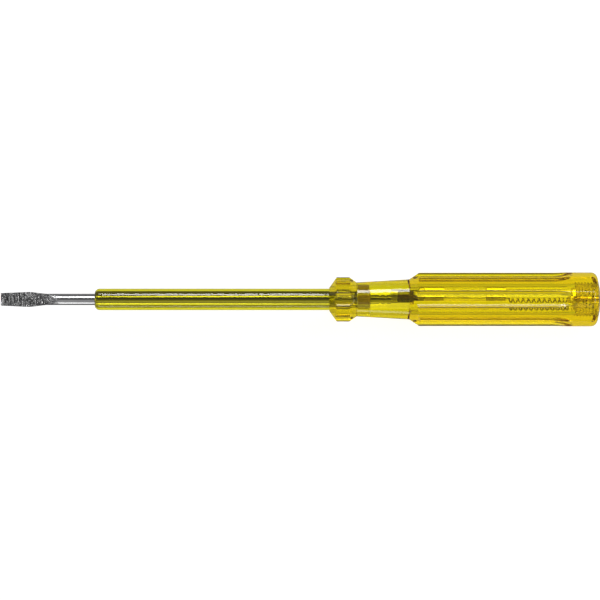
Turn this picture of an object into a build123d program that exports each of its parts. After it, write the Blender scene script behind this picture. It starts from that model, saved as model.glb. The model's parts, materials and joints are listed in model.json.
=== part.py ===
from build123d import *
import os
from math import cos, pi, radians, sin, sqrt

# Voltage tester screwdriver, in millimetres.
# The tool's axis is X, with the blade's end at zero and the cap at the far end. The blade lies flat in XY.

# Blade
blade_end_width = 4.0
blade_end_thickness = 0.6
flare_width = 4.8
flare_length = 9.2
flare_thickness = 1.1
forging_length = 14.2
cheek_length = 17.2
flare_bend_radius = 7.0
shaft_bend_radius = 9.0
cheek_bend_radius = 6.0
shaft_diameter = 3.6
bare_length = 29.8
tail_diameter = 2.9
tail_length = 6.7
tail_groove_width = 0.6
tail_groove_depth = 0.3
tail_groove_place_shares = (0.49, 0.76)

# Insulating sleeve
sleeve_diameter = 6.8
sleeve_length = 87.2
sleeve_seat_length = 12.9
sleeve_seat_step = 0.2
sleeve_nose_radius = 1.5
sleeve_end_chamfer = 0.3

# Handle, from the guard to the rear end
handle_length = 85.4
guard_lip = 0.3
guard_diameter = 14.2
guard_front_length = 2.4
guard_crest_length = 3.8
guard_rear_length = 2.4
guard_corner_radius = 0.3
neck_front_diameter = 10.8
neck_rear_diameter = 12.7
neck_length = 16.7
neck_corner_radius = 0.6
shoulder_length = 3.3
shoulder_corner_radius = 1.0
grip_diameter = 17.1
end_corner_radius = 1.9
end_face_rise = 1.0

# Flutes and the flats between them, which the guard and the grip share at the same angles
flute_count = 5
flute_first_angle = 0.0
flute_cutter_radius = 3.9
grip_flute_depth = 1.52
guard_flute_depth = 1.07
grip_flat_depth = 0.5
guard_flat_depth = 0.4
flute_end_distance = 14.6
flute_runout_radius = 14.0
flute_runout_sweep = 38.0

# Plug and its thread, shown as plain cylinders at the thread's outer diameter
thread_diameter = 8.0
thread_length = 7.9
thread_mouth_chamfer = 0.3
plug_dome_height = 0.6
plug_slot_width = 1.0
plug_slot_depth = 1.0

# Touch contact
stem_diameter = 2.0
stem_proud = 0.2
flange_diameter = 6.2
flange_thickness = 0.8

# Resistor
resistor_length = 10.3
resistor_diameter = 4.5
resistor_cap_length = 2.0
resistor_cap_wall = 0.25
coating_recess = 0.1

# Neon lamp
lamp_length = 25.5
lamp_diameter = 4.5
lamp_cap_length = 6.0
lamp_cap_wall = 0.2
cement_thickness = 0.12
cement_length = 4.0
glass_wall = 0.35
lead_room = 1.6
lead_straight = 0.45
lead_diameter = 0.5
lead_bend_radius = 0.5
bead_length = 2.5
electrode_diameter = 0.9
electrode_spacing = 1.5
electrode_overlap = 2.0
solder_diameter = 2.0
solder_tip_diameter = 1.0
solder_height = 0.3
solder_crown_share = 0.65

# Contact spring
wire_diameter = 0.5
spring_diameter = 4.0
spring_turns = 12
closed_turns = 1
closed_pitch = 1.0
spring_leg_bend = 0.6
spring_leg_angle = 57.0

# Places of the loose stack beside the tool's axis
stack_side = 1.1
spring_side = -0.8

# Clearances, on the radius
press_gap = 0.02
bond_gap = 0.01
bore_gap = 0.05
thread_gap = 0.05
stem_gap = 0.05

# What a cut runs past the surface that it opens
overrun = 1.0

# Stations along the axis, worked out from the sizes above
sleeve_front = bare_length
sleeve_end = sleeve_front + sleeve_length
blade_rear = sleeve_end + tail_length
handle_front = sleeve_end - sleeve_seat_length
handle_rear = handle_front + handle_length
crest_front = handle_front + guard_front_length
crest_rear = crest_front + guard_crest_length
neck_front = crest_rear + guard_rear_length
neck_rear = neck_front + neck_length
grip_front = neck_rear + shoulder_length
resistor_front = blade_rear
resistor_rear = resistor_front + resistor_length
lamp_front = resistor_rear + solder_height
lamp_rear = lamp_front + lamp_length
plug_front = handle_rear - thread_length
flange_front = plug_front - flange_thickness
spring_front = lamp_rear
spring_rear = flange_front

# Radii that several pieces share
seat_radius = sleeve_diameter / 2 - sleeve_seat_step
bore_radius = sleeve_diameter / 2 + bore_gap
tapped_radius = thread_diameter / 2 + thread_gap
grip_radius = grip_diameter / 2
guard_radius = guard_diameter / 2


def revolved(points, radii):
    """A body of revolution about the tool's axis from its half outline and the rounding of each corner."""
    outline = FilletPolyline(*points, radius=radii, close=True)
    return revolve(make_face(outline), Axis.X)


def across(station, side=0, up=0):
    """The plane square to the tool's axis at a station, with its own X along the tool's Y."""
    return Plane((station, side, up), x_dir=(0, 1, 0), z_dir=(1, 0, 0))


def rod(start, end, radius, side=0, up=0):
    """A round bar along X between two stations, beside the tool's axis by side and above it by up."""
    return extrude(across(start, side, up) * Circle(radius), end - start)


def blade():
    shaft_radius = shaft_diameter / 2
    tail_radius = tail_diameter / 2
    groove_radius = tail_radius - tail_groove_depth
    points = [
        (0, 0),
        (0, blade_end_width / 2),
        (flare_length, flare_width / 2),
        (forging_length, shaft_radius),
        (sleeve_end, shaft_radius),
        (sleeve_end, tail_radius),
        (blade_rear, tail_radius),
        (blade_rear, 0),
    ]
    radii = [0, 0, flare_bend_radius, shaft_bend_radius, 0, 0, 0, 0]
    shank = revolved(points, radii)

    # The forged cheeks leave a wedge that runs out on the round shaft
    cheek_top = flare_width / 2 + overrun
    runout_rise = shaft_radius - flare_thickness / 2
    runout_length = (cheek_length - flare_length) * (cheek_top - flare_thickness / 2) / runout_rise
    cheek_line = FilletPolyline(
        (-overrun, blade_end_thickness / 2),
        (flare_length, flare_thickness / 2),
        (flare_length + runout_length, cheek_top),
        (-overrun, cheek_top),
        radius=[0, cheek_bend_radius, 0, 0],
        close=True,
    )
    cheek = extrude(Plane.XZ * make_face(cheek_line), flare_width, both=True)
    shank = shank - cheek - mirror(cheek, Plane.XY)

    # Two crimped grooves hold the tail
    for share in tail_groove_place_shares:
        middle = sleeve_end + share * tail_length
        start = middle - tail_groove_width / 2
        end = middle + tail_groove_width / 2
        shank = shank - (rod(start, end, tail_radius + overrun) - rod(start, end, groove_radius))
    return shank


def blade_sleeve():
    outer = sleeve_diameter / 2
    inner = shaft_diameter / 2 + press_gap
    points = [
        (sleeve_front, inner),
        (sleeve_front, outer),
        (handle_front, outer),
        (handle_front, seat_radius),
        (sleeve_end - sleeve_end_chamfer, seat_radius),
        (sleeve_end, seat_radius - sleeve_end_chamfer),
        (sleeve_end, inner),
    ]
    return revolved(points, [0, sleeve_nose_radius, 0, 0, 0, 0, 0])


def flute_section(depth, body_radius):
    """What the round cutter takes from a body: the flute's floor, closed by a chord outside the body."""
    floor = body_radius - depth
    centre = floor + flute_cutter_radius
    chord = body_radius + overrun
    half_width = sqrt(flute_cutter_radius**2 - (centre - chord) ** 2)
    arc = ThreePointArc((-half_width, chord), (0, floor), (half_width, chord))
    return make_face(arc + Line((half_width, chord), (-half_width, chord)))


def flat_section(depth, body_radius):
    """What a flat takes from a body: the space between the flat and a line outside the body."""
    flat = body_radius - depth
    top = body_radius + overrun
    corners = [(-body_radius, flat), (body_radius, flat), (body_radius, top), (-body_radius, top)]
    return make_face(Polyline(*corners, close=True))


def around(cutter, first_angle):
    """The cutter at each flute's or flat's angle from the top of the tool."""
    step = 360 / flute_count
    return [Rot(X=-first_angle - step * number) * cutter for number in range(flute_count)]


def cut_along(section, start, end):
    """A straight cut along the tool's axis between two stations."""
    return extrude(across(start) * section, end - start)


def handle():
    end_edge = handle_rear - end_face_rise
    outside = [
        (handle_front, 0),
        (handle_front, bore_radius + guard_lip),
        (crest_front, guard_radius),
        (crest_rear, guard_radius),
        (neck_front, neck_front_diameter / 2),
        (neck_rear, neck_rear_diameter / 2),
        (grip_front, grip_radius),
        (end_edge, grip_radius),
        (handle_rear, tapped_radius + thread_mouth_chamfer),
        (handle_rear, 0),
    ]
    radii = [0, 0, guard_corner_radius, guard_corner_radius, neck_corner_radius, neck_corner_radius]
    radii = radii + [shoulder_corner_radius, end_corner_radius, 0, 0]
    body = revolved(outside, radii)

    # Cuts of the guard stop behind it, over the thinner neck, where those of the grip start
    guard_start = handle_front - overrun
    guard_end = neck_front + overrun
    grip_start = neck_rear - overrun
    guard_flat = cut_along(flat_section(guard_flat_depth, guard_radius), guard_start, guard_end)
    grip_flat = cut_along(flat_section(grip_flat_depth, grip_radius), grip_start, handle_rear + overrun)
    guard_flute = cut_along(flute_section(guard_flute_depth, guard_radius), guard_start, guard_end)

    # Flutes of the grip rise out of it before its rear end
    flute_end = handle_rear - flute_end_distance
    section = flute_section(grip_flute_depth, grip_radius)
    grip_flute = cut_along(section, grip_start, flute_end)
    pivot_height = grip_radius - grip_flute_depth + flute_runout_radius
    pivot = Axis((flute_end, 0, pivot_height), (0, -1, 0))
    runout = revolve(across(flute_end) * section, pivot, flute_runout_sweep)

    flat_first_angle = flute_first_angle + 180 / flute_count
    for cutter in around(guard_flat, flat_first_angle) + around(grip_flat, flat_first_angle):
        body = body - cutter
    for cutter in around(guard_flute, flute_first_angle) + around(grip_flute, flute_first_angle):
        body = body - cutter
    for cutter in around(runout, flute_first_angle):
        body = body - cutter

    # A bore from end to end, narrower where the sleeve is seated and tapped for the plug at the rear
    body = body - rod(handle_front - overrun, handle_rear + overrun, seat_radius + press_gap)
    body = body - rod(sleeve_end, handle_rear + overrun, bore_radius)
    body = body - rod(plug_front, handle_rear + overrun, tapped_radius)
    mouth = revolved(
        [
            (handle_rear - thread_mouth_chamfer, 0),
            (handle_rear - thread_mouth_chamfer, tapped_radius),
            (handle_rear + overrun, tapped_radius + thread_mouth_chamfer + overrun),
            (handle_rear + overrun, 0),
        ],
        [0, 0, 0, 0],
    )
    return body - mouth


def cap_plug():
    outer = thread_diameter / 2
    inner = stem_diameter / 2 + stem_gap
    dome_radius = (outer**2 + plug_dome_height**2) / (2 * plug_dome_height)
    dome_top = handle_rear + plug_dome_height
    dome_centre = dome_top - dome_radius
    dome_places = []
    for height in (outer, (outer + inner) / 2, inner):
        dome_places.append((dome_centre + sqrt(dome_radius**2 - height**2), height))
    dome = ThreePointArc(*dome_places)
    sides = Polyline(dome_places[-1], (plug_front, inner), (plug_front, outer), dome_places[0])
    body = revolve(make_face(dome + sides), Axis.X)

    # A slot for a coin or a blade runs across the end, on both sides of the contact
    slot_floor = across(dome_top - plug_slot_depth)
    slot_outline = slot_floor * Rectangle(thread_diameter + overrun, plug_slot_width)
    slot = extrude(slot_outline, plug_slot_depth + overrun)
    return body - slot


def touch_contact():
    top = handle_rear + plug_dome_height + stem_proud
    stem_radius = stem_diameter / 2
    points = [
        (flange_front, 0),
        (flange_front, flange_diameter / 2),
        (plug_front, flange_diameter / 2),
        (plug_front, stem_radius),
        (top, stem_radius),
        (top, 0),
    ]
    return revolved(points, [0, 0, 0, 0, stem_proud, 0])


def resistor_pieces():
    outer = resistor_diameter / 2
    inner = outer - resistor_cap_wall
    front_mouth = resistor_front + resistor_cap_length
    rear_mouth = resistor_rear - resistor_cap_length
    core_front = resistor_front + resistor_cap_wall
    core_rear = resistor_rear - resistor_cap_wall
    core_radius = inner - bond_gap

    core = rod(core_front, core_rear, core_radius, stack_side)
    front_cap = rod(resistor_front, front_mouth, outer, stack_side)
    front_cap = front_cap - rod(core_front, front_mouth, inner, stack_side)
    rear_cap = rod(rear_mouth, resistor_rear, outer, stack_side)
    rear_cap = rear_cap - rod(rear_mouth, core_rear, inner, stack_side)
    coating = rod(front_mouth, rear_mouth, outer - coating_recess, stack_side)
    coating = coating - rod(front_mouth, rear_mouth, core_radius + bond_gap, stack_side)
    return {
        "resistor_core": core,
        "resistor_coating": coating,
        "resistor_front_cap": front_cap,
        "resistor_rear_cap": rear_cap,
    }


def lamp_half():
    """The pieces of the lamp's front half, with the lamp's front face at zero and its axis on X."""
    outer = lamp_diameter / 2
    inner = outer - lamp_cap_wall
    glass_radius = inner - cement_thickness
    glass_bore = glass_radius - glass_wall
    lead_radius = lead_diameter / 2
    glass_end = lamp_cap_wall + lead_room
    bead_end = glass_end + bead_length
    electrode_end = lamp_length / 2 + electrode_overlap / 2
    spread = electrode_spacing / 2

    cap = rod(0, lamp_cap_length, outer) - rod(lamp_cap_wall, lamp_cap_length, inner)
    cap = cap - rod(0, lamp_cap_wall, lead_radius + bond_gap)

    cement_front = lamp_cap_length - cement_length
    cement = rod(cement_front, lamp_cap_length, inner - bond_gap)
    cement = cement - rod(cement_front, lamp_cap_length, glass_radius + bond_gap)

    bead = rod(glass_end, bead_end, glass_bore - bond_gap)
    bead = bead - rod(glass_end, bead_end, lead_radius + bond_gap, 0, spread)

    # The lead steps from the cap's middle to the electrode's place, straight through the bead
    lead_line = FilletPolyline(
        (0, 0, 0),
        (lead_straight, 0, 0),
        (glass_end - lead_straight, 0, spread),
        (bead_end, 0, spread),
        radius=lead_bend_radius,
    )
    lead = sweep(across(0) * Circle(lead_radius), path=lead_line)
    electrode = lead + rod(bead_end, electrode_end, electrode_diameter / 2, 0, spread)

    foot = (0, solder_diameter / 2)
    tip = (-solder_height, solder_tip_diameter / 2)
    crown_radius = solder_crown_share * foot[1] + (1 - solder_crown_share) * tip[1]
    crown = (-solder_crown_share * solder_height, crown_radius)
    solder_line = ThreePointArc(foot, crown, tip) + Polyline(tip, (-solder_height, 0), (0, 0), foot)
    solder = revolve(make_face(solder_line), Axis.X)
    return {"cap": cap, "cement": cement, "bead": bead, "electrode": electrode, "solder": solder}


def lamp_pieces():
    glass_radius = lamp_diameter / 2 - lamp_cap_wall - cement_thickness
    glass_front = lamp_front + lamp_cap_wall + lead_room
    glass_rear = lamp_rear - lamp_cap_wall - lead_room
    glass = rod(glass_front, glass_rear, glass_radius, stack_side)
    pieces = {"lamp_glass": glass - rod(glass_front, glass_rear, glass_radius - glass_wall, stack_side)}

    # The rear half is the front half turned end for end, so the two electrodes lie side by side
    for name, piece in lamp_half().items():
        pieces["lamp_front_" + name] = Pos(lamp_front, stack_side, 0) * piece
        pieces["lamp_rear_" + name] = Pos(lamp_rear, stack_side, 0) * Rot(Y=180) * piece
    return pieces


def biarc(start, start_way, end, end_way):
    """Two arcs between two points and directions, with one shared tangent where they meet."""
    span = end - start
    ways = start_way + end_way
    lean = 2 * (1 - start_way.dot(end_way))
    reach = span.dot(ways)
    ahead = (sqrt(reach**2 + lean * span.dot(span)) - reach) / lean
    first_corner = start + start_way * ahead
    second_corner = end - end_way * ahead
    middle = (first_corner + second_corner) / 2
    middle_way = (second_corner - first_corner).normalized()
    return [Edge.make_tangent_arc(start, start_way, middle), Edge.make_tangent_arc(middle, middle_way, end)]


def spring_line():
    """The wire's centre line: a coil by half turns, closed at its ends, and an axial leg at each end."""
    coil_radius = (spring_diameter - wire_diameter) / 2
    leg = wire_diameter + spring_leg_bend
    half_turns = 2 * spring_turns
    closed_halves = 2 * closed_turns
    open_length = spring_rear - spring_front - 2 * leg - 2 * closed_turns * closed_pitch
    open_rise = open_length / (half_turns - 2 * closed_halves)
    rises = []
    for number in range(half_turns):
        is_closed = number < closed_halves or number >= half_turns - closed_halves
        rises.append(closed_pitch / 2 if is_closed else open_rise)

    places = []
    ways = []
    along = spring_front + leg
    for number in range(half_turns + 1):
        angle = radians(spring_leg_angle) + pi * number
        before = rises[max(number - 1, 0)]
        after = rises[min(number, half_turns - 1)]
        places.append(Vector(along, spring_side + coil_radius * sin(angle), coil_radius * cos(angle)))
        slope = (before + after) / 2 / pi
        ways.append(Vector(slope, coil_radius * cos(angle), -coil_radius * sin(angle)).normalized())
        along = along + after

    # Each leg bends from the coil into the axial direction and runs straight for one wire diameter
    axial = Vector(1, 0, 0)
    front_side = Vector(0, ways[0].Y, ways[0].Z).normalized() * spring_leg_bend
    rear_side = Vector(0, ways[-1].Y, ways[-1].Z).normalized() * spring_leg_bend
    front_bend = Vector(spring_front + wire_diameter, places[0].Y, places[0].Z) - front_side
    rear_bend = Vector(spring_rear - wire_diameter, places[-1].Y, places[-1].Z) + rear_side
    front_end = front_bend - axial * wire_diameter
    rear_end = rear_bend + axial * wire_diameter

    edges = [Edge.make_line(front_end, front_bend)]
    edges = edges + biarc(front_bend, axial, places[0], ways[0])
    for number in range(half_turns):
        edges = edges + biarc(places[number], ways[number], places[number + 1], ways[number + 1])
    edges = edges + biarc(places[-1], ways[-1], rear_bend, axial)
    edges.append(Edge.make_line(rear_bend, rear_end))
    return edges


def least_gap(edges):
    """The least distance between the wire's points more than a quarter turn apart, less its diameter."""
    samples_per_edge = 6
    points = []
    travelled = []
    length = 0
    for edge in edges:
        for number in range(samples_per_edge):
            points.append(edge.position_at(number / samples_per_edge))
            travelled.append(length + edge.length * number / samples_per_edge)
        length = length + edge.length
    apart = pi * spring_diameter / 4
    gaps = []
    for first in range(len(points)):
        for second in range(first + 1, len(points)):
            if travelled[second] - travelled[first] > apart:
                gaps.append((points[second] - points[first]).length)
    return min(gaps) - wire_diameter


def contact_spring():
    edges = spring_line()
    start = edges[0].position_at(0)
    section = across(start.X, start.Y, start.Z) * Circle(wire_diameter / 2)
    wire = sweep(section, path=Wire(edges))
    length = sum(edge.length for edge in edges)
    tightest = min(edge.radius for edge in edges if edge.geom_type == GeomType.CIRCLE)
    print("spring wire length", round(length, 2), "tightest bend", round(tightest, 3))
    print("spring volume", round(wire.volume, 3), "section times length",
          round(pi * wire_diameter**2 / 4 * length, 3))
    print("spring least gap to itself", round(least_gap(edges), 3))
    return wire


os.makedirs("parts", exist_ok=True)
pieces = {
    "blade": blade(),
    "blade_sleeve": blade_sleeve(),
    "handle": handle(),
    "contact_spring": contact_spring(),
    "cap_plug": cap_plug(),
    "touch_contact": touch_contact(),
}
pieces.update(resistor_pieces())
pieces.update(lamp_pieces())
for name, piece in pieces.items():
    piece.label = name
    export_step(piece, "parts/" + name + ".step")
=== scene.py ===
import bpy
import json
import numpy as np
from math import cos, radians, sin
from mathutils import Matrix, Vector


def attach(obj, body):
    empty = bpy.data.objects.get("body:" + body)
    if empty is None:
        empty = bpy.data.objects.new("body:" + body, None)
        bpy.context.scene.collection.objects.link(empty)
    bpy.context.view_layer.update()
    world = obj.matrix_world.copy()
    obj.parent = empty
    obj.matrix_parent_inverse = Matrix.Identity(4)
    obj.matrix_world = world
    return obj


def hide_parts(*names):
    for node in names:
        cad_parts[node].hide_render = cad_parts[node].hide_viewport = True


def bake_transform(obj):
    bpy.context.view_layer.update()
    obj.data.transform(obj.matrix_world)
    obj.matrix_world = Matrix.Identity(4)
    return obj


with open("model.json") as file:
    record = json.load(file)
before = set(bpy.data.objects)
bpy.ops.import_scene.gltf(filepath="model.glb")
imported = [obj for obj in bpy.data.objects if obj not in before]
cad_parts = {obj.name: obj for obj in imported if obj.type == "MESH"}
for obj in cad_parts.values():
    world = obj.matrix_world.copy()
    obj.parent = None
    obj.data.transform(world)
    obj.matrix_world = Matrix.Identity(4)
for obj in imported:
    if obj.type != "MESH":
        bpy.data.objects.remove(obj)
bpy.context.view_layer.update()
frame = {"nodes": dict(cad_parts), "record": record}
mm = 0.001
fullTurn = 2 * np.pi


# Places along the tool's axis that several pieces share, in millimetres as in the record
tool = {
    "sleeveFront": 29.8,
    "handleFront": 104.1,
    "sleeveEnd": 117.0,
    "lampRear": 159.8,
    "springRear": 180.8,
    "plugFront": 181.6,
    "handleRear": 189.5,
}

# Thread of the plug and of the handle's hole. The hole's lies a hair inside the plug's, and its radius swings by a
# product of two waves of angle and station, so that the two touch in patches and not all over. Each wave is
# (waves round the axis, radians per millimetre along it).
thread = {
    "outerRadius": 4.0,
    "pitch": 1.0,
    "depth": 0.6,
    "slope": 2.6,
    "overshoot": 0.15,
    "plugInset": 0.02,
    "holeInset": 0.034,
    "holeShift": 0.006,
    "patchHeight": 0.019,
    "patchWaves": [(19, 4.3), (-13, 7.1)],
}


def gridFaces(points, closedRows=True):
    # Quads between neighbours of a grid of points: columns are joined end to end, and rows too where it is closed
    rows, columns = points.shape[:2]
    row = np.arange(rows if closedRows else rows - 1)[:, None]
    column = np.arange(columns)[None, :]
    nextRow, nextColumn = (row + 1) % rows, (column + 1) % columns
    corners = [row * columns + column, row * columns + nextColumn,
               nextRow * columns + nextColumn, nextRow * columns + column]
    return np.stack(corners, axis=-1).reshape(-1, 4)


def putMesh(name, points, quads, caps=()):
    # Points in millimetres and faces become a smooth mesh object at the origin, in metres
    points = points.reshape(-1, 3) * mm
    loops = np.concatenate([quads.reshape(-1)] + [np.asarray(cap) for cap in caps]).astype(np.int32)
    sizes = np.concatenate([np.full(len(quads), 4), [len(cap) for cap in caps]]).astype(np.int32)
    starts = np.concatenate([[0], np.cumsum(sizes)[:-1]]).astype(np.int32)
    mesh = bpy.data.meshes.new(name)
    mesh.vertices.add(len(points))
    mesh.vertices.foreach_set("co", points.astype(np.float32).ravel())
    mesh.loops.add(len(loops))
    mesh.loops.foreach_set("vertex_index", loops)
    mesh.polygons.add(len(sizes))
    mesh.polygons.foreach_set("loop_start", starts)
    mesh.polygons.foreach_set("use_smooth", np.ones(len(sizes), dtype=bool))
    mesh.update(calc_edges=True)
    mesh.validate()
    piece = bpy.data.objects.new(name, mesh)
    bpy.context.scene.collection.objects.link(piece)
    return piece


def roundedLine(points, cornerRadii, arcSteps=8, edgeRoom=0.04, sideShare=0.49, firstShare=0.97):
    # A polyline whose corners are arcs: at each corner the arc touches both sides at radius * tan(half the turn),
    # and a sharp corner gets a tiny bevel, so that smooth shading stays flat beside it. An arc takes up to half of
    # each side, and nearly all of the first side, which no other arc needs.
    points = np.array(points, dtype=float)
    line = [points[0]]
    corners = zip(points[1:-1], points[:-2], points[2:], cornerRadii[1:-1])
    for index, (corner, before, after, radius) in enumerate(corners):
        backward, forward = before - corner, after - corner
        backLength, foreLength = np.linalg.norm(backward), np.linalg.norm(forward)
        backward, forward = backward / backLength, forward / foreLength
        halfAngle = np.arccos(np.clip(backward @ forward, -1, 1)) / 2
        steps = arcSteps if radius else 2
        radius = radius or edgeRoom * np.tan(halfAngle)
        backRoom = (sideShare if index else firstShare) * backLength
        reach = min(radius / np.tan(halfAngle), backRoom, sideShare * foreLength)
        radius = reach * np.tan(halfAngle)
        middle = (backward + forward) / np.linalg.norm(backward + forward)
        centre = corner + middle * radius / np.sin(halfAngle)
        start, end = corner + backward * reach - centre, corner + forward * reach - centre
        turn = np.pi - 2 * halfAngle
        share = np.linspace(0, 1, steps + 1)[:, None]
        line.extend(centre + (np.sin((1 - share) * turn) * start + np.sin(share * turn) * end) / np.sin(turn))
    line.append(points[-1])
    return np.array(line)


def withCloseRows(line, room=0.07, spacing=9.0):
    # Extra points close to both ends of each long run, so that a corner's shading doesn't reach along it
    rows = [line[:1]]
    for start, end in zip(line[:-1], line[1:]):
        length = np.linalg.norm(end - start)
        if length > 3 * room:
            inner = np.linspace(room, length - room, int(length / spacing) + 2)[:, None] / length
            rows.append(start + inner * (end - start))
        rows.append(end[None])
    return np.concatenate(rows)


def placeRound(stations, radius, angles):
    # Stations along the axis, radii and angles about it become places: (x, r cos a, r sin a)
    return np.stack(np.broadcast_arrays(stations, radius * np.cos(angles), radius * np.sin(angles)), axis=-1)


def softLess(first, second, width):
    # The lesser of two surfaces, with a rounded edge where they cross
    share = np.clip(0.5 + 0.5 * (second - first) / width, 0, 1)
    return second * (1 - share) + first * share - width * share * (1 - share)


def threadRadius(stations, angles, inset):
    # A right-handed 60 degree thread: a triangle wave of (x / pitch - angle / turn). It overshoots its depth on both
    # sides and is cut there, which gives the flats on crest and root.
    phase = (stations / thread["pitch"] - angles / fullTurn) % 1
    wave = np.clip(np.abs(phase - 0.5) * thread["slope"] - thread["overshoot"], 0, 1)
    return thread["outerRadius"] - inset - thread["depth"] * (1 - wave)


# Handle: a turned outline less five flutes and the flats between them, a bore through it and a tapped rear end.
# Each of the close rows is (first station, last station, number of rows).
handleShape = {
    "outline": [(tool["handleFront"], 3.19), (tool["handleFront"], 3.75), (106.5, 7.1), (110.3, 7.1), (112.7, 5.4),
                (129.4, 6.35), (132.7, 8.55), (188.5, 8.55), (tool["handleRear"], 4.35), (tool["handleRear"], 4.05)],
    "cornerRadii": [0, 0.12, 0.45, 0.45, 0.6, 0.6, 1.0, 1.9, 0.1, 0],
    "boreRadius": 3.45,
    "seatRadius": 3.19,
    "threadMouth": 0.25,
    "threadFoot": 0.15,
    "footLength": 0.1,
    "footStep": 0.02,
    "fluteCount": 5,
    "firstFlute": 90.0,
    "cutterRadius": 3.9,
    "missedRadius": 40.0,
    "guardFloor": 6.03,
    "gripFloor": 7.03,
    "guardFlat": 6.7,
    "gripFlat": 8.05,
    "guardEnd": 120.0,
    "uncutRadius": 5.3,
    "runoutStart": 174.9,
    "runoutRadius": 14.0,
    "runoutShare": 0.95,
    "edgeWidth": 0.09,
    # Width and fade of the painted shade along the ridges
    "ridgeShadeWidth": 0.48,
    "ridgeShadeFade": 7.0,
    "columnsPerFlute": 60,
    "columnCrowding": 0.2,
    "threadRows": 98,
    "closeRows": [(104.3, 113, 24), (114, 129, 8), (129.4, 134, 26), (140, 172, 5), (174.9, 184, 36)],
    "closeSpan": (104.2, 188.0),
    "leastStep": 0.01,
    "decimals": 4,
}


def cutSurfaces(stations, offAngles, shape):
    # Where a round cutter of radius R, its axis C away from the tool's, meets a ray at angle d from the flute's
    # middle: C cos d - sqrt(R^2 - C^2 sin^2 d). A ray that misses the cutter gets a radius beyond the skin. A flat
    # at distance F, square to the direction half a pitch on, meets it at F / cos(half pitch - |d|). At the run-out
    # the flute's floor rises on an arc of the run-out's radius.
    arc, cutter = shape["runoutRadius"], shape["cutterRadius"]
    rise = np.clip(stations - shape["runoutStart"], 0, arc * shape["runoutShare"])
    lift = arc - np.sqrt(arc ** 2 - rise ** 2)
    onGuard = stations < shape["guardEnd"]
    centre = np.where(onGuard, shape["guardFloor"], shape["gripFloor"] + lift) + cutter
    inside = cutter ** 2 - (centre * np.sin(offAngles)) ** 2
    flute = centre * np.cos(offAngles) - np.sqrt(np.maximum(inside, 0))
    flute = np.where(inside > 0, flute, shape["missedRadius"])
    flatAngles = np.pi / shape["fluteCount"] - np.abs(offAngles)
    flat = np.where(onGuard, shape["guardFlat"], shape["gripFlat"]) / np.cos(flatAngles)
    return flute, flat


def handleRows(shape):
    # The turned outline, with closer rows along the guard's slopes, the shoulder and the run-out, where the cuts
    # change fast
    line = withCloseRows(roundedLine(shape["outline"], shape["cornerRadii"]))
    extra = np.concatenate([np.linspace(*span) for span in shape["closeRows"]])
    start, end = shape["closeSpan"]
    lowest = np.argmax(line[:, 0] > start) - 1
    highest = len(line) - 1 - np.argmax(line[::-1, 0] < end)
    body = line[lowest:highest + 1]
    stations = np.unique(np.round(np.concatenate([body[:, 0], extra]), shape["decimals"]))
    stations = stations[np.concatenate([[True], np.diff(stations) > shape["leastStep"]])]
    body = np.stack([stations, np.interp(stations, body[:, 0], body[:, 1])], axis=-1)
    return np.concatenate([line[:lowest], body, line[highest + 1:]])


def handleColumns(shape):
    # Each flute has the same columns, at angles from its middle, and they crowd together near its ridges
    count = shape["fluteCount"]
    share = np.linspace(0, 1, shape["columnsPerFlute"], endpoint=False) * 2 - 1
    offAngle = np.pi / count * (share + shape["columnCrowding"] * np.sin(fullTurn * share) / np.pi)
    middles = radians(shape["firstFlute"]) + fullTurn / count * np.arange(count)
    return (middles[:, None] + offAngle[None, :]).ravel(), np.tile(offAngle, count)


def handleInside(angles, shape):
    # From the rear: the tapped hole, the bore and the narrower seat of the sleeve
    threadEnd = tool["plugFront"] + shape["threadFoot"]
    stations = np.linspace(tool["handleRear"] - shape["threadMouth"], threadEnd, shape["threadRows"])[:, None]
    patches = [np.sin(around * angles + along * stations) for around, along in thread["patchWaves"]]
    radius = threadRadius(stations + thread["holeShift"], angles, thread["holeInset"])
    radius = radius + thread["patchHeight"] * (patches[0] * patches[1])
    bore, seat = shape["boreRadius"], shape["seatRadius"]
    outline = [(tool["plugFront"], bore + shape["footStep"]), (tool["plugFront"] - shape["footLength"], bore),
               (tool["sleeveEnd"], bore), (tool["sleeveEnd"], seat), (tool["handleFront"], seat)]
    line = withCloseRows(roundedLine(outline, [0] * len(outline)))[:-1]
    return np.concatenate([placeRound(stations, radius, angles), placeRound(line[:, :1], line[:, 1:], angles)])


def makeHandle(shape=handleShape):
    outer = handleRows(shape)
    angles, offAngles = handleColumns(shape)
    stations, plain = outer[:, :1], outer[:, 1:]
    flute, flat = cutSurfaces(stations, offAngles, shape)
    cut = softLess(softLess(plain, flat, shape["edgeWidth"]), flute, shape["edgeWidth"])
    radius = np.where(plain < shape["uncutRadius"], plain, cut)
    points = np.concatenate([placeRound(stations, radius, angles), handleInside(angles, shape)])
    piece = putMesh("handleBody", points, gridFaces(points))
    # Painted shade along the ridges: exp(-(gap between flat and flute / width)^2). It fades out in step with the
    # distance from the run-out's start. The material reads it as an attribute.
    ridge = np.exp(-((flat - flute) / shape["ridgeShadeWidth"]) ** 2)
    nearSkin = np.maximum(flat, flute) < plain + shape["ridgeShadeWidth"]
    fade = np.clip(1 - (stations - shape["runoutStart"]) / shape["ridgeShadeFade"], 0, 1)
    ridgeShade = np.zeros(points.shape[:2], dtype=np.float32)
    ridgeShade[:len(outer)] = ridge * nearSkin * fade * (plain > shape["uncutRadius"])
    piece.data.attributes.new("ridgeShade", "FLOAT", "POINT").data.foreach_set("value", ridgeShade.ravel())
    return piece


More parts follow.
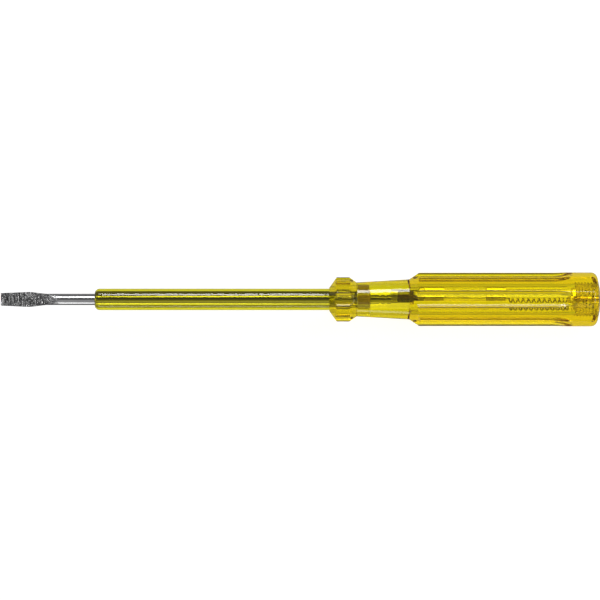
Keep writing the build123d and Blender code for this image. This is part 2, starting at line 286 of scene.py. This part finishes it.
# Sleeve: a tube with a rounded nose and a slightly thinner seated end. It is stretched over the shaft and clings to
# it, so its hole is drawn a hair smaller than the shaft and no film of air shows between them.
sleeveShape = {
    "outline": [(tool["sleeveFront"], 1.78), (tool["sleeveFront"], 3.4), (tool["handleFront"], 3.4),
                (tool["handleFront"], 3.2), (116.7, 3.2), (tool["sleeveEnd"], 2.9), (tool["sleeveEnd"], 1.78),
                (tool["sleeveFront"], 1.78)],
    "cornerRadii": [0, 1.5, 0, 0, 0, 0, 0, 0],
    "noseSteps": 14,
    "columns": 160,
}


def makeSleeve(shape=sleeveShape):
    line = withCloseRows(roundedLine(shape["outline"], shape["cornerRadii"], arcSteps=shape["noseSteps"]))[:-1]
    angles = np.linspace(0, fullTurn, shape["columns"], endpoint=False)
    points = placeRound(line[:, :1], line[:, 1:], angles)
    return putMesh("sleeveTube", points, gridFaces(points))


# Plug: threaded outside, domed end with a slot, and a hole for the contact. The columns beside the slot are given
# as shares of what is left of the quarter, and those of the rest as (first share, last share, number).
plugShape = {
    "holeRadius": 1.05,
    "domeRise": 0.6,
    "slotHalfWidth": 0.5,
    "slotSlack": 1.001,
    "slotDepth": 1.0,
    "leadLength": 0.35,
    "leadDepth": 0.25,
    "threadRows": 125,
    "rimBand": 0.5,
    "rimRows": 5,
    "domeBand": 0.7,
    "domeRows": 14,
    "holeRooms": (0.1, 0.05),
    "slotShares": [0, 0.4, 0.8, 0.97],
    "besideSlot": [0.0, 0.02, 0.06],
    "restColumns": (0.12, 1, 22),
}


def slotAngles(radius, shape):
    # Columns that keep beside the slot's straight edges at every radius: the slot's half angle is asin(w / r),
    # and the columns share out the slot and the rest of each quarter
    slotShare = np.array(shape["slotShares"])
    restShare = np.concatenate([shape["besideSlot"], np.linspace(*shape["restColumns"])])
    edge = np.arcsin(shape["slotHalfWidth"] / radius)
    quarter = np.concatenate([edge * slotShare, edge + (np.pi / 2 - edge) * restShare], axis=-1)
    half = np.concatenate([quarter, np.pi - quarter[:, ::-1][:, 1:]], axis=-1)
    return np.concatenate([half, half[:, 1:-1] + np.pi], axis=-1)


def makePlug(shape=plugShape):
    outer, rear, front = thread["outerRadius"], tool["handleRear"], tool["plugFront"]
    domeRadius = (outer ** 2 + shape["domeRise"] ** 2) / (2 * shape["domeRise"])
    domeTop = rear + shape["domeRise"]
    slotFloor = domeTop - shape["slotDepth"]
    slotEdge = shape["slotHalfWidth"] * shape["slotSlack"]
    hole = shape["holeRadius"]

    # Side: the thread, which starts with a short taper, and the slot's ends
    stations = np.linspace(front, rear, shape["threadRows"])[:, None]
    angles = slotAngles(np.array([[outer]]), shape)
    lead = 1 - np.clip((stations - front) / shape["leadLength"], 0, 1)
    radius = threadRadius(stations, angles, thread["plugInset"])
    radius = np.minimum(radius, outer - shape["leadDepth"] * lead - thread["plugInset"])
    inSlot = (np.abs(radius * np.sin(angles)) < slotEdge) & (stations > slotFloor)
    side = placeRound(np.where(inSlot, slotFloor, stations), radius, angles)

    # End: a dome from the rim to the contact's hole, station = top - R + sqrt(R^2 - r^2), with the slot across it
    rims = np.concatenate([np.linspace(outer - thread["plugInset"], outer - shape["rimBand"], shape["rimRows"]),
                           np.linspace(outer - shape["domeBand"], hole, shape["domeRows"])])[:, None]
    angles = slotAngles(rims, shape)
    stations = domeTop - domeRadius + np.sqrt(domeRadius ** 2 - rims ** 2)
    inSlot = np.abs(rims * np.sin(angles)) < slotEdge
    dome = placeRound(np.where(inSlot, slotFloor, stations), rims, angles)

    # Contact's hole
    rearRoom, frontRoom = shape["holeRooms"]
    stations = np.array([[slotFloor - rearRoom], [front + frontRoom], [front]])
    wall = placeRound(stations, hole, slotAngles(np.array([[hole]]), shape))
    points = np.concatenate([side, dome, wall])
    return putMesh("plugBody", points, gridFaces(points))


# Contact spring: a coil with closed ends and an axial leg at each end
springShape = {
    "front": tool["lampRear"],
    "rear": tool["springRear"],
    "side": -0.8,
    "coilRadius": 1.75,
    "wireRadius": 0.25,
    "turns": 12,
    "closedTurns": 1,
    "closedPitch": 1.0,
    "swellTurns": 0.5,
    "legBend": 0.6,
    "legAngle": 57.0,
    "bendRows": 10,
    "stepsPerTurn": 60,
    "wireSides": 14,
}


def springLeg(place, angle, direction, shape):
    # A quarter ellipse from the coil's tangent into the axis, then a straight end
    bend = np.linspace(0, np.pi / 2, shape["bendRows"])[1:, None]
    sideways = direction * np.array([0, np.cos(angle), -np.sin(angle)])
    outward = direction * np.array([1.0, 0, 0])
    curve = place + sideways * shape["legBend"] * np.sin(bend) + outward * shape["legBend"] * (1 - np.cos(bend))
    return np.concatenate([curve, curve[-1:] + outward * 2 * shape["wireRadius"]])


def makeSpring(shape=springShape):
    # The coil goes from +Z towards +Y as it runs to the rear. Its pitch is the closed pitch in the end turns
    # and swells between them, and at each end the wire turns from the coil's way into the axis's.
    leg = 2 * shape["wireRadius"] + shape["legBend"]
    swell = shape["swellTurns"]
    turns = np.linspace(0, shape["turns"], shape["turns"] * shape["stepsPerTurn"] + 1)
    fromFront = np.clip(turns - shape["closedTurns"] + swell / 2, 0, swell)
    fromRear = np.clip(shape["turns"] - shape["closedTurns"] - turns + swell / 2, 0, swell)
    openShare = fromFront * fromRear / swell ** 2
    rise = np.concatenate([[0], np.cumsum((openShare[1:] + openShare[:-1]) / 2)]) * (turns[1] - turns[0])
    coilLength = shape["rear"] - shape["front"] - 2 * leg
    along = shape["closedPitch"] * turns + rise / rise[-1] * (coilLength - shape["closedPitch"] * turns[-1])
    angle = radians(shape["legAngle"]) + fullTurn * turns
    coil = np.stack([shape["front"] + leg + along, shape["side"] + shape["coilRadius"] * np.sin(angle),
                     shape["coilRadius"] * np.cos(angle)], axis=-1)
    away = np.stack([0 * angle, np.sin(angle), np.cos(angle)], axis=-1)

    # The wire: a circle of the wire's radius, in the plane of away and across, carried along the path
    frontLeg = springLeg(coil[0], angle[0], -1, shape)[::-1]
    rearLeg = springLeg(coil[-1], angle[-1], 1, shape)
    path = np.concatenate([frontLeg, coil, rearLeg])
    away = np.concatenate([np.repeat(away[:1], len(frontLeg), 0), away, np.repeat(away[-1:], len(rearLeg), 0)])
    way = np.gradient(path, axis=0)
    way /= np.linalg.norm(way, axis=1, keepdims=True)
    across = np.cross(way, away)
    across /= np.linalg.norm(across, axis=1, keepdims=True)
    sides = shape["wireSides"]
    wireAngles = np.linspace(0, fullTurn, sides, endpoint=False)[None, :, None]
    circle = np.cos(wireAngles) * away[:, None, :] + np.sin(wireAngles) * across[:, None, :]
    points = path[:, None, :] + shape["wireRadius"] * circle
    first, last = np.arange(sides)[::-1], np.arange(sides) + (len(points) - 1) * sides
    return putMesh("contactSpring", points, gridFaces(points, closedRows=False), [first, last])


def makeNode(tree, kind, inputs=None, **settings):
    # Inputs are values for the node's sockets, or other nodes' outputs to link to them
    made = tree.nodes.new(kind)
    for name, value in settings.items():
        setattr(made, name, value)
    for name, value in (inputs or {}).items():
        if hasattr(value, "is_output"):
            tree.links.new(value, made.inputs[name])
        else:
            made.inputs[name].default_value = value
    return made


def makeGrainGroup():
    # Soft clouds, fine grain and lines along or across the axis, all from the object's own coordinates
    group = bpy.data.node_groups.new("surfaceGrain", "ShaderNodeTree")
    for label in ("Cloud Scale", "Grain Scale", "Line Scale"):
        group.interface.new_socket(label, in_out="INPUT", socket_type="NodeSocketFloat")
    group.interface.new_socket("Stretch", in_out="INPUT", socket_type="NodeSocketVector")
    for label in ("Cloud", "Grain", "Lines"):
        group.interface.new_socket(label, in_out="OUTPUT", socket_type="NodeSocketFloat")
    given, out = group.nodes.new("NodeGroupInput").outputs, group.nodes.new("NodeGroupOutput")
    place = makeNode(group, "ShaderNodeTexCoord").outputs["Object"]
    stretched = makeNode(group, "ShaderNodeVectorMath", {0: place, 1: given["Stretch"]}, operation="MULTIPLY")
    patterns = {
        "Cloud": {"Vector": place, "Scale": given["Cloud Scale"], "Detail": 3.0},
        "Grain": {"Vector": place, "Scale": given["Grain Scale"], "Detail": 2.0},
        "Lines": {"Vector": stretched.outputs[0], "Scale": given["Line Scale"], "Detail": 4.0, "Roughness": 0.65},
    }
    for label, inputs in patterns.items():
        noise = makeNode(group, "ShaderNodeTexNoise", inputs)
        group.links.new(noise.outputs["Fac"], out.inputs[label])
    return group


grainGroup = makeGrainGroup()


def placeGrain(tree, settings):
    # The grain group with one finish's own scales
    inputs = {"Cloud Scale": settings["cloudScale"], "Grain Scale": settings["grainScale"],
              "Line Scale": settings["lineScale"], "Stretch": settings["stretch"]}
    return makeNode(tree, "ShaderNodeGroup", inputs, node_tree=grainGroup)


def ranged(tree, value, low, high, start=0.3, end=0.7):
    # Low at start, high at end, and straight between them
    return makeNode(tree, "ShaderNodeMapRange", {"Value": value, "From Min": start, "From Max": end,
                                                 "To Min": low, "To Max": high}).outputs["Result"]


def worked(tree, operation, *values):
    # One step of sums on values or other nodes' outputs
    return makeNode(tree, "ShaderNodeMath", dict(enumerate(values)), operation=operation).outputs[0]


def mixed(tree, share, first, second):
    # The first colour where the share is 0, the second where it is 1. In the node, sockets 6 and 7 are its colours.
    return makeNode(tree, "ShaderNodeMix", {0: share, 6: first, 7: second}, data_type="RGBA").outputs[2]


def blended(tree, share, first, second):
    # The same for two numbers, which are the node's sockets 2 and 3
    return makeNode(tree, "ShaderNodeMix", {0: share, 2: first, 3: second}).outputs[0]


def startMaterial(name):
    material = bpy.data.materials.new(name)
    material.use_nodes = True
    tree = material.node_tree
    return material, tree, tree.nodes["Principled BSDF"]


def addRelief(tree, shader, strength, depth, height):
    bump = makeNode(tree, "ShaderNodeBump", {"Strength": strength, "Distance": depth, "Height": height})
    tree.links.new(bump.outputs["Normal"], shader.inputs["Normal"])


def linear(red, green, blue):
    # An sRGB colour as Blender's linear one
    values = np.array([red, green, blue]) / 255
    values = np.where(values <= 0.04045, values / 12.92, ((values + 0.055) / 1.055) ** 2.4)
    return tuple(values) + (1.0,)


# Clear plastics and glass. Places in the sleeve's painted shade are in metres, as the object's coordinates are.
handlePlastic = {
    "tint": (0.985, 0.965, 0.03, 1),
    "depthColour": (0.9985, 0.9964, 0.0, 1),
    "density": 7000.0,
    "shadowTint": (0.93, 0.86, 0.30, 1),
    # Colour of the painted shade along the ridges
    "ridgeShadeTint": (0.04, 0.025, 0.001, 1),
    "roughness": (0.03, 0.07),
    "cloudScale": 220.0,
    "grainScale": 2600.0,
    "lineScale": 900.0,
    "stretch": (0.1, 1.0, 1.0),
    "waveStrength": 0.03,
}
sleevePlastic = {
    **handlePlastic,
    "tint": (0.985, 0.965, 0.25, 1),
    "depthColour": (0.9955, 0.9945, 0.9, 1),
    "ridgeShadeTint": None,
    "roughness": (0.02, 0.05),
    "cloudScale": 160.0,
    "waveStrength": 0.006,
    # Painted shade on the sleeve's seated end, on all but its near side
    "paintedShade": {"start": 0.1129, "side": -0.0016, "fade": 0.0003, "cover": (0.0, 0.92), "colour": linear(104, 78, 26)},
}
plugPlastic = {
    **handlePlastic,
    "ridgeShadeTint": None,
    "roughness": (0.05, 0.1),
    "waveStrength": 0.04,
}
lampGlass = {
    "tint": (0.99, 0.99, 0.985, 1),
    "shadowTint": (0.96, 0.96, 0.95, 1),
    "roughness": (0.0, 0.012),
    "cloudScale": 300.0,
    "grainScale": 2000.0,
    "lineScale": 900.0,
    "stretch": (0.2, 1.0, 1.0),
    "waveStrength": 0.02,
}
clearIor = 1.49
clearWaveDepth = 0.0002


def addRidgeShade(tree, shader, settings):
    # Painted shade: dark along the ridges, by the mesh's own attribute
    ridgeShade = makeNode(tree, "ShaderNodeAttribute", attribute_name="ridgeShade").outputs["Fac"]
    tree.links.new(mixed(tree, ridgeShade, settings["tint"], settings["ridgeShadeTint"]), shader.inputs["Base Color"])


def addPaintedShade(tree, shader, settings):
    # Painted shade: from a station on, the plastic turns dark brown except on the near side, and lets less light
    # through
    paintedShade = settings["paintedShade"]
    place = makeNode(tree, "ShaderNodeTexCoord").outputs["Object"]
    apart = makeNode(tree, "ShaderNodeSeparateXYZ", {0: place})
    shadedStations = ranged(tree, apart.outputs["X"], 0.0, 1.0, paintedShade["start"], paintedShade["start"] + paintedShade["fade"])
    sided = ranged(tree, apart.outputs["Y"], *paintedShade["cover"], paintedShade["side"], paintedShade["side"] + paintedShade["fade"])
    cover = worked(tree, "MULTIPLY", shadedStations, sided)
    tree.links.new(mixed(tree, cover, settings["tint"], paintedShade["colour"]), shader.inputs["Base Color"])
    tree.links.new(worked(tree, "SUBTRACT", 1.0, cover), shader.inputs["Transmission Weight"])


def clearPlastic(name, settings):
    # Clear tinted moulding: smooth glass-like surface, colour taken up along the way through it
    material, tree, shader = startMaterial(name)
    output = tree.nodes["Material Output"]
    grain = placeGrain(tree, settings)
    shader.inputs["Base Color"].default_value = settings["tint"]
    shader.inputs["Transmission Weight"].default_value = 1.0
    shader.inputs["IOR"].default_value = clearIor
    if settings.get("ridgeShadeTint"):
        addRidgeShade(tree, shader, settings)
    if settings.get("paintedShade"):
        addPaintedShade(tree, shader, settings)
    tree.links.new(ranged(tree, grain.outputs["Grain"], *settings["roughness"]), shader.inputs["Roughness"])
    addRelief(tree, shader, settings["waveStrength"], clearWaveDepth, grain.outputs["Cloud"])
    # Light for other things passes straight through, with the plastic's tint
    passing = makeNode(tree, "ShaderNodeBsdfTransparent", {"Color": settings["shadowTint"]})
    path = makeNode(tree, "ShaderNodeLightPath")
    both = makeNode(tree, "ShaderNodeMixShader", {0: path.outputs["Is Shadow Ray"]})
    tree.links.new(shader.outputs[0], both.inputs[1])
    tree.links.new(passing.outputs[0], both.inputs[2])
    tree.links.new(both.outputs[0], output.inputs["Surface"])
    if settings.get("density"):
        inputs = {"Color": settings["depthColour"], "Density": settings["density"]}
        volume = makeNode(tree, "ShaderNodeVolumeAbsorption", inputs)
        tree.links.new(volume.outputs[0], output.inputs["Volume"])
    return material


# Metals have fine lines in their relief, and dull finishes have grain in it
metal = {"metallic": 1.0, "reliefFrom": "Lines", "reliefDepth": 0.00005}
dull = {"metallic": 0.0, "reliefFrom": "Grain", "reliefDepth": 0.00004, "stretch": (1.0, 1.0, 1.0)}
solidFinishes = {
    "contact_metal": {**metal, "dark": linear(212, 194, 140), "light": linear(244, 232, 188),
                      "roughness": (0.22, 0.36), "relief": 0.2, "cloudScale": 500.0, "grainScale": 4000.0,
                      "lineScale": 1200.0, "stretch": (6.0, 1.0, 1.0)},
    "resistor_cap_metal": {**metal, "dark": linear(120, 114, 100), "light": linear(176, 170, 156),
                           "roughness": (0.16, 0.28), "relief": 0.15, "cloudScale": 420.0, "grainScale": 3600.0,
                           "lineScale": 1500.0, "stretch": (0.4, 1.0, 1.0)},
    "lamp_cap_metal": {**metal, "dark": linear(190, 178, 148), "light": linear(226, 214, 186),
                       "roughness": (0.08, 0.16), "relief": 0.08, "cloudScale": 380.0, "grainScale": 3600.0,
                       "lineScale": 1500.0, "stretch": (0.3, 1.0, 1.0)},
    "electrode_nickel": {**metal, "dark": linear(120, 116, 108), "light": linear(178, 172, 162),
                         "roughness": (0.28, 0.45), "relief": 0.2, "cloudScale": 700.0, "grainScale": 5000.0,
                         "lineScale": 2200.0, "stretch": (0.2, 1.0, 1.0)},
    "solder": {**metal, "dark": linear(132, 132, 134), "light": linear(196, 196, 198),
               "roughness": (0.2, 0.36), "relief": 0.3, "cloudScale": 900.0, "grainScale": 3000.0,
               "lineScale": 1600.0, "stretch": (1.0, 1.0, 1.0)},
    "spring_steel": {**metal, "dark": linear(150, 146, 136), "light": linear(206, 200, 188),
                     "roughness": (0.12, 0.24), "relief": 0.15, "cloudScale": 600.0, "grainScale": 4200.0,
                     "lineScale": 1800.0, "stretch": (1.0, 1.0, 1.0)},
    "resistor_ceramic": {**dull, "dark": linear(196, 190, 176), "light": linear(222, 216, 204),
                         "roughness": (0.5, 0.7), "relief": 0.2, "cloudScale": 400.0, "grainScale": 4000.0,
                         "lineScale": 4000.0},
    "resistor_lacquer": {**dull, "dark": linear(38, 27, 17), "light": linear(66, 48, 30),
                         "roughness": (0.18, 0.34), "relief": 0.3, "cloudScale": 500.0, "grainScale": 1500.0,
                         "lineScale": 1500.0},
    "lamp_cement": {**dull, "dark": linear(176, 166, 142), "light": linear(206, 198, 178),
                    "roughness": (0.6, 0.85), "relief": 0.5, "cloudScale": 700.0, "grainScale": 5000.0,
                    "lineScale": 5000.0},
}


def solidFinish(name, settings):
    # Clouded colour, grain in the roughness, and lines or grain in the relief
    material, tree, shader = startMaterial(name)
    grain = placeGrain(tree, settings)
    colour = mixed(tree, ranged(tree, grain.outputs["Cloud"], 0, 1), settings["dark"], settings["light"])
    tree.links.new(colour, shader.inputs["Base Color"])
    shader.inputs["Metallic"].default_value = settings["metallic"]
    tree.links.new(ranged(tree, grain.outputs["Grain"], *settings["roughness"]), shader.inputs["Roughness"])
    addRelief(tree, shader, settings["relief"], settings["reliefDepth"], grain.outputs[settings["reliefFrom"]])
    return material


# Blade: places are in metres. The range of the marks or flecks is where they set in, in the pattern's own values.
bladeFinish = {
    "tipEnd": 0.0165,
    "tipFade": 0.0025,
    "tipDark": linear(78, 78, 80),
    "tipLight": linear(176, 176, 177),
    "tipFleck": linear(250, 250, 250),
    "markRange": (0.42, 0.6),
    "fleckRange": (1.08, 1.16),
    "tipRoughness": (0.2, 0.36),
    "tipRelief": 0.0005,
    "shaftDark": linear(176, 176, 178),
    "shaftLight": linear(206, 206, 207),
    "shaftRoughness": (0.10, 0.17),
    "coverStart": 0.0298,
    "coverFade": 0.0004,
    # Under the sleeve: painted shade on the far side, painted light on the near side
    "coveredShadedSide": linear(98, 96, 90),
    "coveredLitSide": linear(190, 186, 176),
    "litSideRange": (0.0002, -0.0006),
    "tipGrain": {"cloudScale": 420.0, "grainScale": 2400.0, "lineScale": 1100.0, "stretch": (3.0, 0.6, 1.0)},
    "shaftGrain": {"cloudScale": 150.0, "grainScale": 5000.0, "lineScale": 3000.0, "stretch": (0.08, 1.0, 1.0)},
}


def bladeSteel(settings=bladeFinish):
    # Bright drawn shaft, darker under the sleeve with painted shade on its far side and painted light on its near
    # side, behind a forged tip whose blasted faces carry cross marks
    material, tree, shader = startMaterial("blade_steel")
    place = makeNode(tree, "ShaderNodeTexCoord").outputs["Object"]
    apart = makeNode(tree, "ShaderNodeSeparateXYZ", {0: place})
    station, side = apart.outputs["X"], apart.outputs["Y"]
    tipStart, tipStop = settings["tipEnd"] - settings["tipFade"], settings["tipEnd"] + settings["tipFade"]
    tip = ranged(tree, station, 1.0, 0.0, tipStart, tipStop)
    rough = placeGrain(tree, settings["tipGrain"])
    fine = placeGrain(tree, settings["shaftGrain"])

    marks = ranged(tree, rough.outputs["Lines"], 0, 1, *settings["markRange"])
    pits = worked(tree, "ADD", rough.outputs["Lines"], rough.outputs["Grain"])
    flecks = ranged(tree, pits, 0, 1, *settings["fleckRange"])
    markedColour = mixed(tree, marks, settings["tipDark"], settings["tipLight"])
    tipColour = mixed(tree, flecks, markedColour, settings["tipFleck"])
    clouds = ranged(tree, fine.outputs["Cloud"], 0, 1)
    bareColour = mixed(tree, clouds, settings["shaftDark"], settings["shaftLight"])
    # Painted light and shade across the covered shaft: lighter on the near side, darker on the far side
    litSideShare = ranged(tree, side, 0.0, 1.0, *settings["litSideRange"])
    coveredColour = mixed(tree, litSideShare, settings["coveredShadedSide"], settings["coveredLitSide"])
    coverStart = settings["coverStart"]
    covered = ranged(tree, station, 0.0, 1.0, coverStart, coverStart + settings["coverFade"])
    shaftColour = mixed(tree, covered, bareColour, coveredColour)
    tree.links.new(mixed(tree, tip, shaftColour, tipColour), shader.inputs["Base Color"])

    shader.inputs["Metallic"].default_value = 1.0
    tipRoughness = ranged(tree, rough.outputs["Cloud"], *settings["tipRoughness"])
    shaftRoughness = ranged(tree, fine.outputs["Grain"], *settings["shaftRoughness"])
    tree.links.new(blended(tree, tip, shaftRoughness, tipRoughness), shader.inputs["Roughness"])
    addRelief(tree, shader, 1.0, settings["tipRelief"], worked(tree, "MULTIPLY", pits, tip))
    return material


materials = {name: solidFinish(name, settings) for name, settings in solidFinishes.items()}
materials["handle_plastic"] = clearPlastic("handle_plastic", handlePlastic)
materials["sleeve_plastic"] = clearPlastic("sleeve_plastic", sleevePlastic)
materials["plug_plastic"] = clearPlastic("plug_plastic", plugPlastic)
materials["lamp_glass"] = clearPlastic("lamp_glass", lampGlass)
materials["blade_steel"] = bladeSteel()
print("materials made")

handle, sleeve, plug, spring = makeHandle(), makeSleeve(), makePlug(), makeSpring()
pieces = [(handle, "handle", "handle_plastic", "handle"), (sleeve, "blade_sleeve", "sleeve_plastic", "handle"),
          (plug, "cap_plug", "plug_plastic", "cap_plug"), (spring, "contact_spring", "spring_steel", None)]
for piece, node, slot, body in pieces:
    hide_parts(node)
    piece.data.materials.append(materials[slot])
    if body:
        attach(piece, body)
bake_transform(spring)
print("pieces made")

slotOf = {row["node"]: row["material_slot"] for row in frame["record"]["subparts"]}
for name, piece in frame["nodes"].items():
    for place in piece.material_slots:
        place.material = materials[slotOf[name]]
    if not piece.material_slots:
        piece.data.materials.append(materials[slotOf[name]])
print("solids dressed")


# Studio: a pale glowing floor, three soft boxes on the far side, strips and a screen on the near side, a screen
# beyond the rear end, and white surroundings. Lengths are in millimetres. A lamp's tilt is from straight up towards
# the far side, and its place along the tool is from the lamps' target.
studio = {
    "floorHeight": -8.06,
    "floorHalf": 1500.0,
    "floorColour": 0.32,
    "floorRoughness": 0.7,
    "glow": {"camera": 0.88, "transmission": 0.58, "glossy": 0.02},
    "innerGlow": 0.6,
    "worldLevel": 0.18,
    "worldThrough": 0.3,
    "cameraTarget": (94.8, -0.19, 0.0),
    "cameraDistance": 792.5,
    "cameraElevation": 90.0,
    "lens": 150.0,
    "sensorWidth": 36.0,
    "clipStart": 10.0,
    "bounces": 24,
    "glossyBounces": 8,
    "lampTarget": 95.0,
    "lampDistance": 700.0,
    "lamps": [
        {"name": "farLeft", "tilt": 57.0, "along": -210.0, "size": (180.0, 200.0), "radiance": 3.0},
        {"name": "farMiddle", "tilt": 54.0, "along": -52.0, "size": (134.0, 250.0), "radiance": 12.5},
        {"name": "farRight", "tilt": 55.0, "along": 158.0, "size": (284.0, 290.0), "radiance": 4.6},
        {"name": "nearStrip", "tilt": -84.0, "along": -132.0, "size": (296.0, 230.0), "radiance": 2.5},
        {"name": "nearStripRight", "tilt": -84.0, "along": 158.0, "size": (284.0, 150.0), "radiance": 1.5},
        {"name": "nearScreen", "tilt": -38.0, "along": 0.0, "size": (560.0, 510.0), "radiance": 0.3},
        {"name": "endScreen", "tilt": 8.0, "along": 560.0, "size": (480.0, 700.0), "radiance": 2.0},
    ],
}


def makeFloor():
    half, height = studio["floorHalf"], studio["floorHeight"]
    points = np.array([[-half, -half, height], [half, -half, height], [half, half, height], [-half, half, height]])
    floor = putMesh("floor", points, np.array([[0, 1, 2, 3]]))
    material, tree, shader = startMaterial("paleFloor")
    output = tree.nodes["Material Output"]
    shader.inputs["Base Color"].default_value = (studio["floorColour"],) * 3 + (1,)
    shader.inputs["Roughness"].default_value = studio["floorRoughness"]
    # The floor glows where it is seen straight or through clear pieces, as over a light table, less so after a
    # reflection inside them, and hardly at all in metal
    path = makeNode(tree, "ShaderNodeLightPath").outputs
    straight = ranged(tree, path["Glossy Depth"], 1.0, studio["innerGlow"], 0.0, 1.0)
    through = worked(tree, "MULTIPLY", path["Is Transmission Ray"], straight)
    level = 0.0
    for way, ray in (("camera", path["Is Camera Ray"]), ("transmission", through), ("glossy", path["Is Glossy Ray"])):
        level = worked(tree, "MULTIPLY_ADD", ray, studio["glow"][way], level)
    glow = makeNode(tree, "ShaderNodeEmission", {"Color": (1, 1, 1, 1), "Strength": level})
    both = makeNode(tree, "ShaderNodeAddShader")
    tree.links.new(shader.outputs[0], both.inputs[0])
    tree.links.new(glow.outputs[0], both.inputs[1])
    tree.links.new(both.outputs[0], output.inputs["Surface"])
    floor.data.materials.append(material)


def makeLamps():
    for settings in studio["lamps"]:
        light = bpy.data.lights.new(settings["name"], "AREA")
        light.shape = "RECTANGLE"
        light.size, light.size_y = settings["size"][0] * mm, settings["size"][1] * mm
        light.energy = settings["radiance"] * np.pi * light.size * light.size_y
        lamp = bpy.data.objects.new(settings["name"], light)
        tilt = radians(settings["tilt"])
        target = Vector((studio["lampTarget"] * mm, 0, 0))
        back = Vector((0, sin(tilt), cos(tilt)))
        lamp.location = target + back * studio["lampDistance"] * mm + Vector((settings["along"] * mm, 0, 0))
        lamp.rotation_euler = (-back).to_track_quat("-Z", "Y").to_euler()
        bpy.context.scene.collection.objects.link(lamp)


def makeWorld():
    # White where the camera sees it, and dimmer as a light and through clear pieces
    world = bpy.data.worlds.new("surroundings")
    world.use_nodes = True
    tree = world.node_tree
    background = tree.nodes["Background"]
    path = makeNode(tree, "ShaderNodeLightPath").outputs
    through = blended(tree, path["Is Transmission Ray"], studio["worldLevel"], studio["worldThrough"])
    tree.links.new(blended(tree, path["Is Camera Ray"], through, 1.0), background.inputs["Strength"])
    background.inputs["Color"].default_value = (1, 1, 1, 1)
    bpy.context.scene.world = world


def makeCamera():
    camera = bpy.data.objects.new("camera", bpy.data.cameras.new("camera"))
    camera.data.lens = studio["lens"]
    camera.data.sensor_width = studio["sensorWidth"]
    camera.data.clip_start = studio["clipStart"] * mm
    elevation = radians(studio["cameraElevation"])
    target = Vector(studio["cameraTarget"]) * mm
    camera.location = target + Vector((0, -cos(elevation), sin(elevation))) * studio["cameraDistance"] * mm
    camera.rotation_euler = (target - camera.location).to_track_quat("-Z", "Y").to_euler()
    bpy.context.scene.collection.objects.link(camera)
    bpy.context.scene.camera = camera


makeFloor()
makeLamps()
makeWorld()
makeCamera()
scene = bpy.context.scene
scene.view_settings.view_transform = "Standard"
scene.cycles.max_bounces = studio["bounces"]
scene.cycles.transmission_bounces = studio["bounces"]
scene.cycles.transparent_max_bounces = studio["bounces"]
scene.cycles.glossy_bounces = studio["glossyBounces"]
print("studio made")
